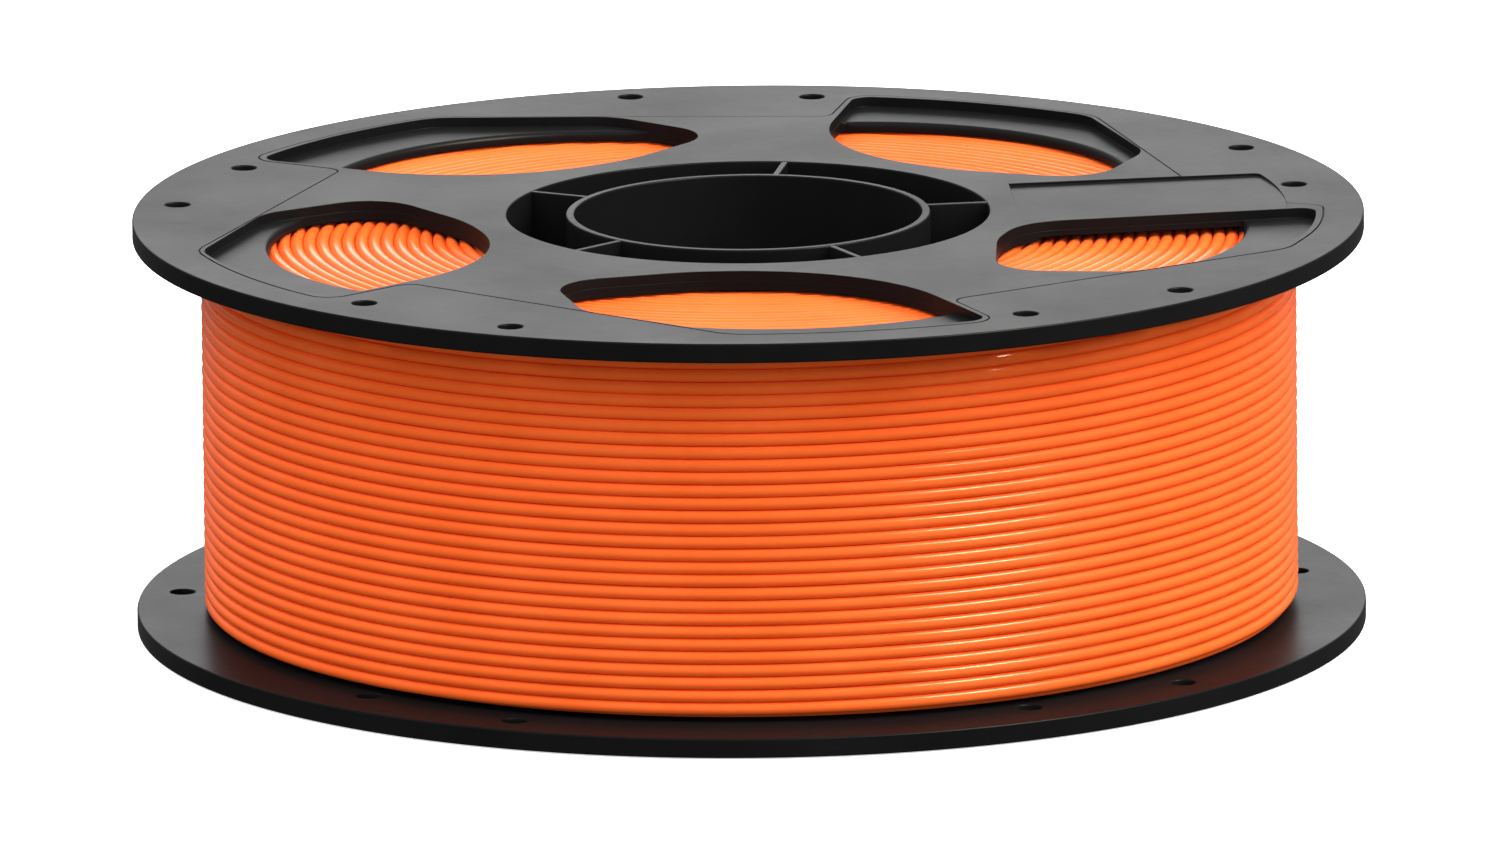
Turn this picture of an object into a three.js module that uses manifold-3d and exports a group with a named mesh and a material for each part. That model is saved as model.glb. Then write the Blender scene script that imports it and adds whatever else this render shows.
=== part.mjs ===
// Filament spool for 3D printing, full of filament, lying flat on its lower flange.
// Units are millimetres. The spool's axis is +Z, and the origin is the centre of its lower face.
// Two halves plug together at mid width. Each half has a flange, half of the drum that carries
// the winding, and a bore sleeve held by five radial ribs.

import * as THREE from 'three';
import { mergeVertices } from 'three/addons/utils/BufferGeometryUtils.js';
import Module from 'manifold-3d';

// ---- Driving dimensions ----

const SPOOL_WIDTH = 67.8;
const FLANGE_RADIUS = 100;
const FLANGE_THICKNESS = 3.2;
const RIM_CHAMFER = 0.3;
const OPENING_RADIUS = 39.2; // the flange's inner edge, around the hub
const DRUM_OUTER_RADIUS = 41.6;
const SPIGOT_HEIGHT = 8;
const SPIGOT_WALL = 1.0;
const SPIGOT_CLEARANCE = 0.3;
const BORE_RADIUS = 28.2;
const SLEEVE_OUTER_RADIUS = 29.6;
const RIB_COUNT = 5;
const RIB_THICKNESS = 1.1;
const RIB_DEPTH = 30;
const RIB_FIRST_ANGLE = 9.1; // degrees
const WINDING_RADIUS = 88.8;
const WINDING_CLEARANCE = 0.2; // to each flange
const STRAND_DIAMETER = 1.75;
const GAP = 0.3; // between pieces that touch

// Windows: one pocket for each fifth of the flange, cut right through where it is near the hub.
const SECTOR_COUNT = 5;
const POCKET_DEPTH = 1.6;
const THROUGH_CENTRE = [4.4, -36]; // disc that the through part of each window stays inside
const THROUGH_RADIUS = 44.8;

// Outlines in one sector's own frame, whose middle line runs along -Y: x, y and corner radius.
const WINDOW_CORNERS = [
  [-32.0, -52.2, 9],
  [-26.6, -73.9, 10],
  [-2.7, -91.9, 8],
  [18.0, -91.9, 85],
  [38.4, -83.2, 3.2],
  [20.5, -45.2, 35],
  [-8.9, -45.2, 34],
];

// The upper flange has a flat pad over the right part of one window. Its outer face slopes gently
// down from the window's edge, and its inner face is cut back to hold the identity tag.
const PAD_SECTOR = 1;
const PAD_EDGE = [[28.0, -87.8], [4.1, -45.2]]; // the window's side along the pad
const PAD_WINDOW_CORNERS = [
  [-32.0, -52.2, 9],
  [-26.6, -73.9, 10],
  [-2.7, -91.9, 8],
  [14.3, -91.9, 65],
  [...PAD_EDGE[0], 2.5],
  [...PAD_EDGE[1], 12],
  [-8.9, -45.2, 25],
];
const PAD_RECESS_CORNERS = [
  [3.2, -45.7, 0],
  [24.5, -84.0, 0],
  [38.75, -79.6, 80],
  [50.9, -71.1, 1],
  [32.1, -34.3, 0],
];
const PAD_SLOPE = 1.0; // degrees
const TAG_RECESS_DEPTH = 0.6;

// Small holes that park the strand's free end: distance from the axis, and angle in degrees.
const PARKING_HOLES = [
  [93.3, -114.1],
  [90.7, -60.8],
];
const PARKING_HOLE_RADIUS = 2;

// Identity tag: a thin square card under the pad, in the pad sector's frame.
const TAG_CENTRE = [31.5, -62.5];
const TAG_SIDE = 20;
const TAG_TURN = 29; // degrees
const TAG_THICKNESS = 0.25;

// ---- Solids ----

const wasm = await Module();
wasm.setup();

function toSolid(geometry) {
  const plain = geometry.clone();
  plain.deleteAttribute('normal');
  plain.deleteAttribute('uv');
  const merged = mergeVertices(plain, 1e-4);
  return new wasm.Manifold(new wasm.Mesh({
    numProp: 3,
    vertProperties: new Float32Array(merged.attributes.position.array),
    triVerts: new Uint32Array(merged.index.array),
  }));
}

function toGeometry(solid) {
  const mesh = solid.getMesh();
  const geometry = new THREE.BufferGeometry();
  geometry.setAttribute('position', new THREE.BufferAttribute(mesh.vertProperties, 3));
  geometry.setIndex(new THREE.BufferAttribute(mesh.triVerts, 1));
  geometry.computeVertexNormals();
  return geometry;
}

const radians = (angle) => THREE.MathUtils.degToRad(angle);

// Closed shape through the corners, each rounded by its own radius.
function roundedShape(corners) {
  const shape = new THREE.Shape();
  corners.forEach(([x, y, radius], index) => {
    const corner = new THREE.Vector2(x, y);
    const [beforeX, beforeY] = corners.at(index - 1);
    const [afterX, afterY] = corners[(index + 1) % corners.length];
    const before = new THREE.Vector2(beforeX, beforeY).sub(corner).normalize();
    const after = new THREE.Vector2(afterX, afterY).sub(corner).normalize();
    const halfAngle = Math.acos(before.dot(after)) / 2;
    const setback = radius / Math.tan(halfAngle);
    const start = corner.clone().addScaledVector(before, setback);
    if (index === 0) {
      shape.moveTo(start.x, start.y);
    } else {
      shape.lineTo(start.x, start.y);
    }
    if (radius > 0) {
      const end = corner.clone().addScaledVector(after, setback);
      const middle = before.clone().add(after).normalize();
      const centre = corner.clone().addScaledVector(middle, radius / Math.sin(halfAngle));
      const startAngle = start.clone().sub(centre).angle();
      const endAngle = end.clone().sub(centre).angle();
      shape.absarc(centre.x, centre.y, radius, startAngle, endAngle, before.cross(after) > 0);
    }
  });
  shape.closePath();
  return shape;
}

// Straight prism of a shape between two heights, turned about the spool's axis.
function prism(shape, bottom, top, turn = 0) {
  const settings = { depth: top - bottom, bevelEnabled: false, curveSegments: 6 };
  const geometry = new THREE.ExtrudeGeometry(shape, settings);
  return toSolid(geometry.translate(0, 0, bottom).rotateZ(turn));
}

function cylinder([x, y], radius, bottom, top, segments) {
  const geometry = new THREE.CylinderGeometry(radius, radius, top - bottom, segments);
  return toSolid(geometry.rotateX(Math.PI / 2).translate(x, y, (bottom + top) / 2));
}

// Solid of revolution about the spool's axis, from a closed profile of [radius, height] points.
function revolved(profile, segments) {
  const points = [...profile, profile[0]].map(([radius, height]) => new THREE.Vector2(radius, height));
  return toSolid(new THREE.LatheGeometry(points, segments).rotateX(Math.PI / 2));
}

// ---- Flanges ----

// A half is described by the height of its outer face and by the direction from there to the inside.
const LOWER = { outer: 0, inward: 1 };
const UPPER = { outer: SPOOL_WIDTH, inward: -1 };
const OVERCUT = 1; // how far a cutter runs past the face that it cuts

const sortedHeights = ({ outer, inward }, from, to) => (
  [outer + inward * from, outer + inward * to].sort((a, b) => a - b)
);

function flangeDisc(half) {
  const [low, high] = sortedHeights(half, 0, FLANGE_THICKNESS);
  return revolved([
    [OPENING_RADIUS, low],
    [FLANGE_RADIUS - RIM_CHAMFER, low],
    [FLANGE_RADIUS, low + RIM_CHAMFER],
    [FLANGE_RADIUS, high - RIM_CHAMFER],
    [FLANGE_RADIUS - RIM_CHAMFER, high],
    [OPENING_RADIUS, high],
  ], 120);
}

function windowCutter(half, corners, turn) {
  const shape = roundedShape(corners);
  const pocket = prism(shape, ...sortedHeights(half, -OVERCUT, POCKET_DEPTH), turn);
  const [low, high] = sortedHeights(half, -OVERCUT, FLANGE_THICKNESS + OVERCUT);
  const centre = new THREE.Vector2(...THROUGH_CENTRE).rotateAround(new THREE.Vector2(), turn);
  const disc = cylinder([centre.x, centre.y], THROUGH_RADIUS, low, high, 90);
  return pocket.add(prism(shape, low, high, turn).intersect(disc));
}

function parkingHoleCutters(half, turn) {
  const [low, high] = sortedHeights(half, -OVERCUT, FLANGE_THICKNESS + OVERCUT);
  return PARKING_HOLES.map(([distance, angle]) => {
    const place = new THREE.Vector2(distance, 0).rotateAround(new THREE.Vector2(), turn + radians(angle));
    return cylinder([place.x, place.y], PARKING_HOLE_RADIUS, low, high, 16);
  });
}

const sectorTurn = (sector) => sector * 2 * Math.PI / SECTOR_COUNT;

function makeFlange(half, cornersOf) {
  let flange = flangeDisc(half);
  for (let sector = 0; sector < SECTOR_COUNT; sector += 1) {
    const turn = sectorTurn(sector);
    flange = flange.subtract(windowCutter(half, cornersOf(sector), turn));
    for (const cutter of parkingHoleCutters(half, turn)) {
      flange = flange.subtract(cutter);
    }
  }
  return flange;
}

const makeLowerFlange = () => makeFlange(LOWER, () => WINDOW_CORNERS);

// Cutter whose floor tilts down from the pad's edge, for the shallow recess in the outer face.
function padRecessCutter() {
  const [start, end] = PAD_EDGE;
  const direction = new THREE.Vector3(end[0] - start[0], end[1] - start[1], 0).normalize();
  const settings = { depth: 2 * OVERCUT, bevelEnabled: false, curveSegments: 6 };
  const geometry = new THREE.ExtrudeGeometry(roundedShape(PAD_RECESS_CORNERS), settings);
  geometry.translate(-start[0], -start[1], 0);
  geometry.applyMatrix4(new THREE.Matrix4().makeRotationAxis(direction, radians(PAD_SLOPE)));
  geometry.translate(start[0], start[1], SPOOL_WIDTH);
  return toSolid(geometry.rotateZ(sectorTurn(PAD_SECTOR)));
}

function makeUpperFlange() {
  const tagSpace = prism(
    roundedShape(PAD_RECESS_CORNERS),
    ...sortedHeights(UPPER, FLANGE_THICKNESS - TAG_RECESS_DEPTH, FLANGE_THICKNESS + OVERCUT),
    sectorTurn(PAD_SECTOR),
  );
  return makeFlange(UPPER, (sector) => (sector === PAD_SECTOR ? PAD_WINDOW_CORNERS : WINDOW_CORNERS))
    .subtract(padRecessCutter())
    .subtract(tagSpace);
}

function makeTag() {
  const middle = SPOOL_WIDTH - FLANGE_THICKNESS + TAG_RECESS_DEPTH - GAP - TAG_THICKNESS / 2;
  const geometry = new THREE.BoxGeometry(TAG_SIDE, TAG_SIDE, TAG_THICKNESS);
  geometry.rotateZ(radians(TAG_TURN)).translate(...TAG_CENTRE, middle);
  return toSolid(geometry.rotateZ(sectorTurn(PAD_SECTOR)));
}

// ---- Drum and bore sleeves ----

const MID_HEIGHT = SPOOL_WIDTH / 2;
const DRUM_SEGMENTS = 72;

// The lower half of the drum ends in a thin spigot on its inner side.
function makeLowerDrum() {
  const shoulder = MID_HEIGHT - GAP / 2;
  return revolved([
    [OPENING_RADIUS, FLANGE_THICKNESS + GAP],
    [DRUM_OUTER_RADIUS, FLANGE_THICKNESS + GAP],
    [DRUM_OUTER_RADIUS, shoulder],
    [OPENING_RADIUS + SPIGOT_WALL, shoulder],
    [OPENING_RADIUS + SPIGOT_WALL, shoulder + SPIGOT_HEIGHT],
    [OPENING_RADIUS, shoulder + SPIGOT_HEIGHT],
  ], DRUM_SEGMENTS);
}

// The upper half has a matching socket that drops over the spigot.
function makeUpperDrum() {
  const mouth = MID_HEIGHT + GAP / 2;
  const socketRadius = OPENING_RADIUS + SPIGOT_WALL + SPIGOT_CLEARANCE;
  const socketEnd = mouth + SPIGOT_HEIGHT;
  const top = SPOOL_WIDTH - FLANGE_THICKNESS - GAP;
  return revolved([
    [socketRadius, mouth],
    [DRUM_OUTER_RADIUS, mouth],
    [DRUM_OUTER_RADIUS, top],
    [OPENING_RADIUS, top],
    [OPENING_RADIUS, socketEnd],
    [socketRadius, socketEnd],
  ], DRUM_SEGMENTS);
}

function makeRib(index, low, high) {
  const inner = (BORE_RADIUS + SLEEVE_OUTER_RADIUS) / 2;
  const outer = OPENING_RADIUS - GAP;
  const geometry = new THREE.BoxGeometry(outer - inner, RIB_THICKNESS, high - low);
  geometry.translate((inner + outer) / 2, 0, (low + high) / 2);
  return toSolid(geometry.rotateZ(radians(RIB_FIRST_ANGLE) + index * 2 * Math.PI / RIB_COUNT));
}

function makeSleeve(half) {
  const [low, high] = sortedHeights(half, 0, MID_HEIGHT - GAP / 2);
  let sleeve = revolved([
    [BORE_RADIUS, low],
    [SLEEVE_OUTER_RADIUS, low],
    [SLEEVE_OUTER_RADIUS, high],
    [BORE_RADIUS, high],
  ], DRUM_SEGMENTS);
  for (let index = 0; index < RIB_COUNT; index += 1) {
    sleeve = sleeve.add(makeRib(index, ...sortedHeights(half, 0, RIB_DEPTH)));
  }
  return sleeve;
}

// ---- Filament ----

const windingBottom = FLANGE_THICKNESS + WINDING_CLEARANCE;
const windingTop = SPOOL_WIDTH - FLANGE_THICKNESS - WINDING_CLEARANCE;

// The wound strand as one ring, from just off the drum to the outermost turns.
function makeWinding() {
  const inner = DRUM_OUTER_RADIUS + GAP;
  return revolved([
    [inner, windingBottom],
    [WINDING_RADIUS, windingBottom],
    [WINDING_RADIUS, windingTop],
    [inner, windingTop],
  ], 96);
}

// The strand's free end leaves the last turn at the back, runs beside the winding and dips into a
// parking hole of the lower flange, where it stops short of the outer face.
const TAIL_HOLE_ANGLE = 83.2; // degrees
const TAIL_HOLE_DISTANCE = 90.7;
const TAIL_LEAD = 34; // degrees round the spool from the last turn to the hole
const TAIL_START_HEIGHT = 16;
const TAIL_END_HEIGHT = 0.9;
const TAIL_LAST_TURN_DISTANCE = WINDING_RADIUS + GAP + STRAND_DIAMETER / 2;

function tailPoint(share, height) {
  const angle = radians(TAIL_HOLE_ANGLE + TAIL_LEAD * (1 - share));
  const distance = THREE.MathUtils.lerp(TAIL_LAST_TURN_DISTANCE, TAIL_HOLE_DISTANCE, share);
  return new THREE.Vector3(distance * Math.cos(angle), distance * Math.sin(angle), height);
}

function makeTail() {
  const route = new THREE.CatmullRomCurve3([
    tailPoint(0, TAIL_START_HEIGHT),
    tailPoint(0.3, TAIL_START_HEIGHT - 0.6),
    tailPoint(0.6, TAIL_START_HEIGHT - 2.4),
    tailPoint(0.85, TAIL_START_HEIGHT - 6.2),
    tailPoint(0.97, 5.6),
    tailPoint(1, FLANGE_THICKNESS - 0.6),
    tailPoint(1, TAIL_END_HEIGHT),
  ]);
  const section = new THREE.Shape().absarc(0, 0, STRAND_DIAMETER / 2, 0, 2 * Math.PI);
  const settings = { steps: 24, extrudePath: route, bevelEnabled: false, curveSegments: 8 };
  return toSolid(new THREE.ExtrudeGeometry(section, settings));
}

// ---- Materials and scene graph ----

const blackPlastic = (name) => new THREE.MeshStandardMaterial({
  name,
  color: 0x1c1d1f,
  roughness: 0.42,
  metalness: 0,
});
const orangeFilament = (name) => new THREE.MeshStandardMaterial({
  name,
  color: 0xff5a14,
  roughness: 0.28,
  metalness: 0,
});
const tagCard = (name) => new THREE.MeshStandardMaterial({
  name,
  color: 0xe8e6df,
  roughness: 0.6,
  metalness: 0,
});

function addPiece(parent, name, solid, makeMaterial) {
  const piece = new THREE.Mesh(toGeometry(solid), makeMaterial(`${name}_material`));
  piece.name = name;
  parent.add(piece);
}

const spool = new THREE.Group();

const lowerHalf = new THREE.Group();
addPiece(lowerHalf, 'lower_flange', makeLowerFlange(), blackPlastic);
addPiece(lowerHalf, 'lower_drum', makeLowerDrum(), blackPlastic);
addPiece(lowerHalf, 'lower_bore_sleeve', makeSleeve(LOWER), blackPlastic);
addPiece(lowerHalf, 'filament_winding', makeWinding(), orangeFilament);
addPiece(lowerHalf, 'filament_tail', makeTail(), orangeFilament);
spool.add(lowerHalf);

const upperHalf = new THREE.Group();
addPiece(upperHalf, 'upper_flange', makeUpperFlange(), blackPlastic);
addPiece(upperHalf, 'upper_drum', makeUpperDrum(), blackPlastic);
addPiece(upperHalf, 'upper_bore_sleeve', makeSleeve(UPPER), blackPlastic);
addPiece(upperHalf, 'identity_tag', makeTag(), tagCard);
spool.add(upperHalf);

export default spool;
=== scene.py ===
"""Looks of a filament spool lying flat: moulded black halves and an orange strand wound between them.

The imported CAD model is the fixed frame. The plastic pieces and the winding are rebuilt here, with
rounded edges and real turns, where the CAD nodes that they stand for are. The tag keeps its CAD mesh.
Geometry is worked out in millimetres and turned into metres where a mesh is made.
"""

import math

import bpy
import numpy as np
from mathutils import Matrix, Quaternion, Vector
from mathutils.geometry import delaunay_2d_cdt


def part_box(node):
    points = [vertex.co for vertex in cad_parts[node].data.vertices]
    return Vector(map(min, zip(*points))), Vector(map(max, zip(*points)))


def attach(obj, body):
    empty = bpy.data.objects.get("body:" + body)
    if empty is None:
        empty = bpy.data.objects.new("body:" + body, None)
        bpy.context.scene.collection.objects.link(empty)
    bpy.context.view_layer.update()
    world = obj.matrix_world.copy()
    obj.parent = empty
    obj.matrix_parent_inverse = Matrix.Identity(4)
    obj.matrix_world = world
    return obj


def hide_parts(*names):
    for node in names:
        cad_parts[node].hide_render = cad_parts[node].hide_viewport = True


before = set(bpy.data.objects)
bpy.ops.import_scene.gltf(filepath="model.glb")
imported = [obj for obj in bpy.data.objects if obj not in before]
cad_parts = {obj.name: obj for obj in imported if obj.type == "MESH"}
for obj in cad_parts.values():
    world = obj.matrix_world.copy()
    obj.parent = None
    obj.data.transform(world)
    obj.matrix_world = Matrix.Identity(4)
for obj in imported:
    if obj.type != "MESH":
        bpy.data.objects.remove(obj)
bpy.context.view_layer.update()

MM = 0.001
FULL_TURN = 2 * math.pi

# ---- Sizes taken from the frame, in millimetres ----


def box_mm(node):
    """Lowest and highest corner of a CAD node at rest."""
    low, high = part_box(node)
    return np.array(low) / MM, np.array(high) / MM


upper_low, upper_high = box_mm("upper_flange")
drum_low, drum_high = box_mm("upper_drum")
_, spigot_high = box_mm("lower_drum")
winding_low, winding_high = box_mm("filament_winding")

FLANGE_RADIUS = upper_high[0]
FLANGE_THICKNESS = upper_high[2] - upper_low[2]
SPOOL_WIDTH = upper_high[2]
DRUM_RADIUS = drum_high[0]
WINDING_RADIUS = winding_high[0]
MOUTH_HEIGHT = drum_low[2]  # where the upper half of the drum ends
HALF_DEPTH = SPOOL_WIDTH - MOUTH_HEIGHT  # from an outer face to where its drum and sleeve end
SPIGOT_TOP = spigot_high[2]
GAP = 0.3  # what the CAD solids keep between each other
WINDING_INNER_RADIUS = DRUM_RADIUS + GAP

# ---- Sizes the frame doesn't give, as in the CAD source ----

OPENING_RADIUS = 39.2
SPIGOT_OUTER_RADIUS = 40.2
SOCKET_RADIUS = 40.5
BORE_RADIUS = 28.2
SLEEVE_OUTER_RADIUS = 29.6
RIB_COUNT = 5
RIB_THICKNESS = 1.1
RIB_DEPTH = 30
RIB_FIRST_ANGLE = math.radians(9.1)

SECTOR_COUNT = 5
SECTOR_ANGLE = FULL_TURN / SECTOR_COUNT
POCKET_DEPTH = 1.6
THROUGH_CENTRE = np.array([4.4, -36.0])
THROUGH_RADIUS = 44.8

# Corners of outlines in the first sector: x, y and rounding
WINDOW_CORNERS = [
    (-32.0, -52.2, 9),
    (-26.6, -73.9, 10),
    (-2.7, -91.9, 8),
    (18.0, -91.9, 85),
    (38.4, -83.2, 3.2),
    (20.5, -45.2, 35),
    (-8.9, -45.2, 34),
]
PAD_SECTOR = 1
PAD_EDGE = np.array([[28.0, -87.8], [4.1, -45.2]])
PAD_ALONG = (PAD_EDGE[0] - PAD_EDGE[1]) / np.linalg.norm(PAD_EDGE[0] - PAD_EDGE[1])
PAD_ACROSS = np.array([-PAD_ALONG[1], PAD_ALONG[0]])
PAD_WINDOW_CORNERS = [
    (-32.0, -52.2, 9),
    (-26.6, -73.9, 10),
    (-2.7, -91.9, 8),
    (14.3, -91.9, 65),
    (28.0, -87.8, 2.5),
    (4.1, -45.2, 12),
    (-8.9, -45.2, 25),
]
PAD_RECESS_CORNERS = [
    (3.2, -45.7, 0),
    (24.5, -84.0, 0),
    (38.75, -79.6, 80),
    (50.9, -71.1, 1),
    (32.1, -34.3, 0),
]
PAD_SLOPE = math.tan(math.radians(1.0))
TAG_RECESS_DEPTH = 0.6
PARKING_HOLE_RADIUS = 2
PARKING_HOLES = [(93.3, math.radians(-114.1)), (90.7, math.radians(-60.8))]  # distance and angle

# ---- Middle plate of each flange, which the CAD source leaves out ----

RIM_DROP = 0.03  # from the plate's face down to the rim's
GROOVE_WIDTH = 0.26  # fine groove between plate and rim, with a round bottom
GROOVE_WALL = 0.17  # depth at which the round bottom starts
GROOVE_EDGE = 0.04
PLATE_CORNERS = [
    (-54.6, -51.8, 3),
    (-3.2, -92.6, 8.5),
    (18.6, -92.6, 92),
    (39.6, -84.1, 4),
]
PAD_PLATE_CORNERS = [
    (-54.6, -51.8, 3),
    (-3.2, -92.6, 8.5),
    (14.8, -92.9, 60),
    (29.9, -88.4, 3),
    (30.0, -80.0, 0.5),
]

# ---- Pieces ----


def add_piece(name, data, material, body, replaced=None):
    """Puts a mesh or a curve into the scene as a piece that rides on a body."""
    data.materials.append(material)
    piece = bpy.data.objects.new(name, data)
    bpy.context.scene.collection.objects.link(piece)
    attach(piece, body)
    if replaced is not None:
        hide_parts(replaced)
    return piece


# ---- Meshes from patches ----

ARC_STEP = 0.9  # longest chord on a small arc
WELD = 4  # decimals of a millimetre at which two points are one
FILL_ACCURACY = 1e-6  # distance at which the triangulation takes two points as one
KEEP_ALL = 0  # makes the triangulation cover holes too, so a patch picks its own triangles


class Skin:
    """Patches of points, normals and faces that join into one mesh where their points meet.

    Outer is the height of the half's outer face. Inward is 1 where depth counts upwards from
    it, and -1 where it counts downwards."""

    def __init__(self, outer=0.0, inward=1.0):
        self.outer = outer
        self.inward = inward
        self.points = []
        self.normals = []
        self.faces = []
        self.count = 0

    def add(self, points, normals, faces):
        """Adds a patch; each face is turned so that it looks along its points' normals."""
        faces = np.asarray(faces)
        first, second, last = (points[faces[:, i]] for i in (0, 1, -1))
        looks = np.cross(second - first, last - first)
        wrong = np.einsum("ij,ij->i", looks, normals[faces].sum(axis=1)) < 0
        faces[wrong] = faces[wrong][:, ::-1]
        self.points.append(points)
        self.normals.append(normals)
        self.faces.extend((faces + self.count).tolist())
        self.count += len(points)

    def wall(self, outline, side, profile, shown=None):
        """Sweeps a profile round an outline. Side is 1 where the solid is inside it, -1 for a hole.

        The profile's rows are offset to the open side, depth below the outer face, and the same
        two parts of the normal. Shown says which of the outline's points the wall stands at.
        Returns the first and the last ring, as x, y and depth."""
        across = outline_normals(outline) * side
        unit = across / np.linalg.norm(across, axis=1)[:, None]
        count = len(outline)
        rings, normals = [], []
        for offset, depth, normal_out, normal_depth in profile:
            offset, depth = (np.broadcast_to(value, count) for value in (offset, depth))
            rings.append(np.column_stack([outline + across * offset[:, None], depth]))
            turned = np.full((count, 1), normal_depth * self.inward)
            normals.append(np.hstack([unit * normal_out, turned]))
        faces = grid_faces(len(rings), count)
        if shown is not None:
            faces = faces[shown[faces % count].all(axis=1)]
        self.add(self.placed(np.vstack(rings)), np.vstack(normals), faces)
        return rings[0], rings[-1]

    def fill(self, around, holes, direction, depth):
        """Patch inside one ring and outside others. Direction is 1 to look into the half and -1
        to look out of it. Depth is one number or a function of the points."""
        rings = [around, *holes]
        flat = [Vector(point[:2]) for ring in rings for point in ring]
        edges, start = [], 0
        for ring in rings:
            edges += [(start + i, start + (i + 1) % len(ring)) for i in range(len(ring))]
            start += len(ring)
        found, _, triangles, *_ = delaunay_2d_cdt(flat, edges, [], KEEP_ALL, FILL_ACCURACY)
        corners = np.array([tuple(point) for point in found])
        triangles = np.array(triangles)
        middles = corners[triangles].mean(axis=1)
        kept = inside(middles, around[:, :2])
        for hole in holes:
            kept &= ~inside(middles, hole[:, :2])
        triangles = triangles[kept]
        level = depth(corners) if callable(depth) else np.full(len(corners), depth)
        points = self.placed(np.column_stack([corners, level]))
        normals = np.tile([0.0, 0.0, direction * self.inward], (len(points), 1))
        self.add(points, normals, triangles)

    def placed(self, points):
        """Turns depth below the outer face into height."""
        return np.column_stack([points[:, :2], self.outer + self.inward * points[:, 2]])

    def to_piece(self, name, body, replaced):
        """Welds the patches and adds them to the scene as a piece of black plastic."""
        points = np.concatenate(self.points)
        normals = np.concatenate(self.normals)
        _, first, where = np.unique(
            np.round(points, WELD), axis=0, return_index=True, return_inverse=True
        )
        where = where.reshape(-1)
        faces, corner_normals, seen = [], [], set()
        for face in self.faces:
            kept = [i for n, i in enumerate(face) if where[i] != where[face[n - 1]]]
            welded = [int(where[i]) for i in kept]
            key = frozenset(welded)
            if len(key) < 3 or len(key) < len(welded) or key in seen:
                continue
            seen.add(key)
            faces.append(welded)
            corner_normals.extend(normals[kept])
        mesh = bpy.data.meshes.new(name)
        mesh.from_pydata((points[first] * MM).tolist(), [], faces)
        mesh.polygons.foreach_set("use_smooth", [True] * len(faces))
        mesh.normals_split_custom_set([tuple(normal) for normal in corner_normals])
        add_piece(name, mesh, black_plastic, body, replaced)


def grid_faces(rows, columns):
    """Quads between neighbouring rows of a grid whose columns run round."""
    row = np.arange(rows - 1)[:, None] * columns
    column = np.arange(columns)[None, :]
    after = (column + 1) % columns
    quads = [row + column, row + after, row + columns + after, row + columns + column]
    return np.stack(quads, axis=-1).reshape(-1, 4)


# ---- Outlines ----

LEAST_ARC_STEPS = 4
MITRE_FLOOR = 0.5  # keeps the normals at sharp corners no longer than twice the others


def turned(points, angle):
    """Points turned about the axis."""
    c, s = math.cos(angle), math.sin(angle)
    return np.asarray(points) @ np.array([[c, s], [-s, c]])


def circle(radius, count, centre=(0.0, 0.0)):
    """Points round a circle."""
    angles = np.arange(count) * FULL_TURN / count
    return np.column_stack([np.cos(angles), np.sin(angles)]) * radius + np.asarray(centre)


def rounded_points(corners):
    """Points through the corners, each rounded by its own radius, with their outward normals."""
    points, normals = [], []
    for index, (x, y, radius) in enumerate(corners):
        corner = np.array([x, y])
        before = np.array(corners[index - 1][:2]) - corner
        after = np.array(corners[(index + 1) % len(corners)][:2]) - corner
        before /= np.linalg.norm(before)
        after /= np.linalg.norm(after)
        middle = (before + after) / np.linalg.norm(before + after)
        if radius == 0:
            points.append(corner)
            normals.append(-middle)
            continue
        half = math.acos(before @ after) / 2
        start = corner + before * radius / math.tan(half)
        centre = corner + middle * radius / math.sin(half)
        turn = math.copysign(math.pi - 2 * half, before[1] * after[0] - before[0] * after[1])
        steps = max(LEAST_ARC_STEPS, math.ceil(radius * abs(turn) / ARC_STEP))
        for step in range(steps + 1):
            ray = turned([start - centre], turn * step / steps)[0]
            points.append(centre + ray)
            normals.append(ray / radius * math.copysign(1, turn))
    return np.array(points), np.array(normals)


def rounded_outline(corners, spacing=2.0):
    """Closed outline through rounded corners, with no two points further apart than the spacing."""
    return densified(rounded_points(corners)[0], spacing)


def densified(points, spacing):
    """The same outline with points no further apart than the spacing."""
    result = []
    for point, after in zip(points, np.roll(points, -1, axis=0)):
        parts = max(1, math.ceil(np.linalg.norm(after - point) / spacing))
        result += [point + (after - point) * part / parts for part in range(parts)]
    return np.array(result)


def outline_normals(outline):
    """Outward normals of a closed outline, long enough at corners to keep a wall's offset."""
    ahead = np.roll(outline, -1, axis=0) - outline
    ahead /= np.linalg.norm(ahead, axis=1)[:, None]
    x, y = outline.T
    area = np.sum(x * np.roll(y, -1) - y * np.roll(x, -1))
    out = np.column_stack([ahead[:, 1], -ahead[:, 0]]) * math.copysign(1, area)
    both = out + np.roll(out, 1, axis=0)
    both /= np.linalg.norm(both, axis=1)[:, None]
    return both / np.maximum(np.einsum("ij,ij->i", both, out), MITRE_FLOOR)[:, None]


def inside(points, outline):
    """Which points lie inside a closed outline."""
    x, y = points[:, 0:1], points[:, 1:2]
    x0, y0 = outline[:, 0], outline[:, 1]
    x1, y1 = np.roll(x0, -1), np.roll(y0, -1)
    crosses = (y0 > y) != (y1 > y)
    with np.errstate(divide="ignore", invalid="ignore"):
        crossing = x0 + (y - y0) * (x1 - x0) / (y1 - y0)
    return (np.sum(crosses & (x < crossing), axis=1) % 2).astype(bool)


def distance_to(points, outline):
    """Distance from each point to the nearest place on a closed outline."""
    ahead = np.roll(outline, -1, axis=0) - outline
    to_point = points[:, None, :] - outline[None, :, :]
    share = np.clip(np.sum(to_point * ahead, axis=2) / np.sum(ahead * ahead, axis=1), 0, 1)
    return np.linalg.norm(to_point - share[:, :, None] * ahead, axis=2).min(axis=1)


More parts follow.
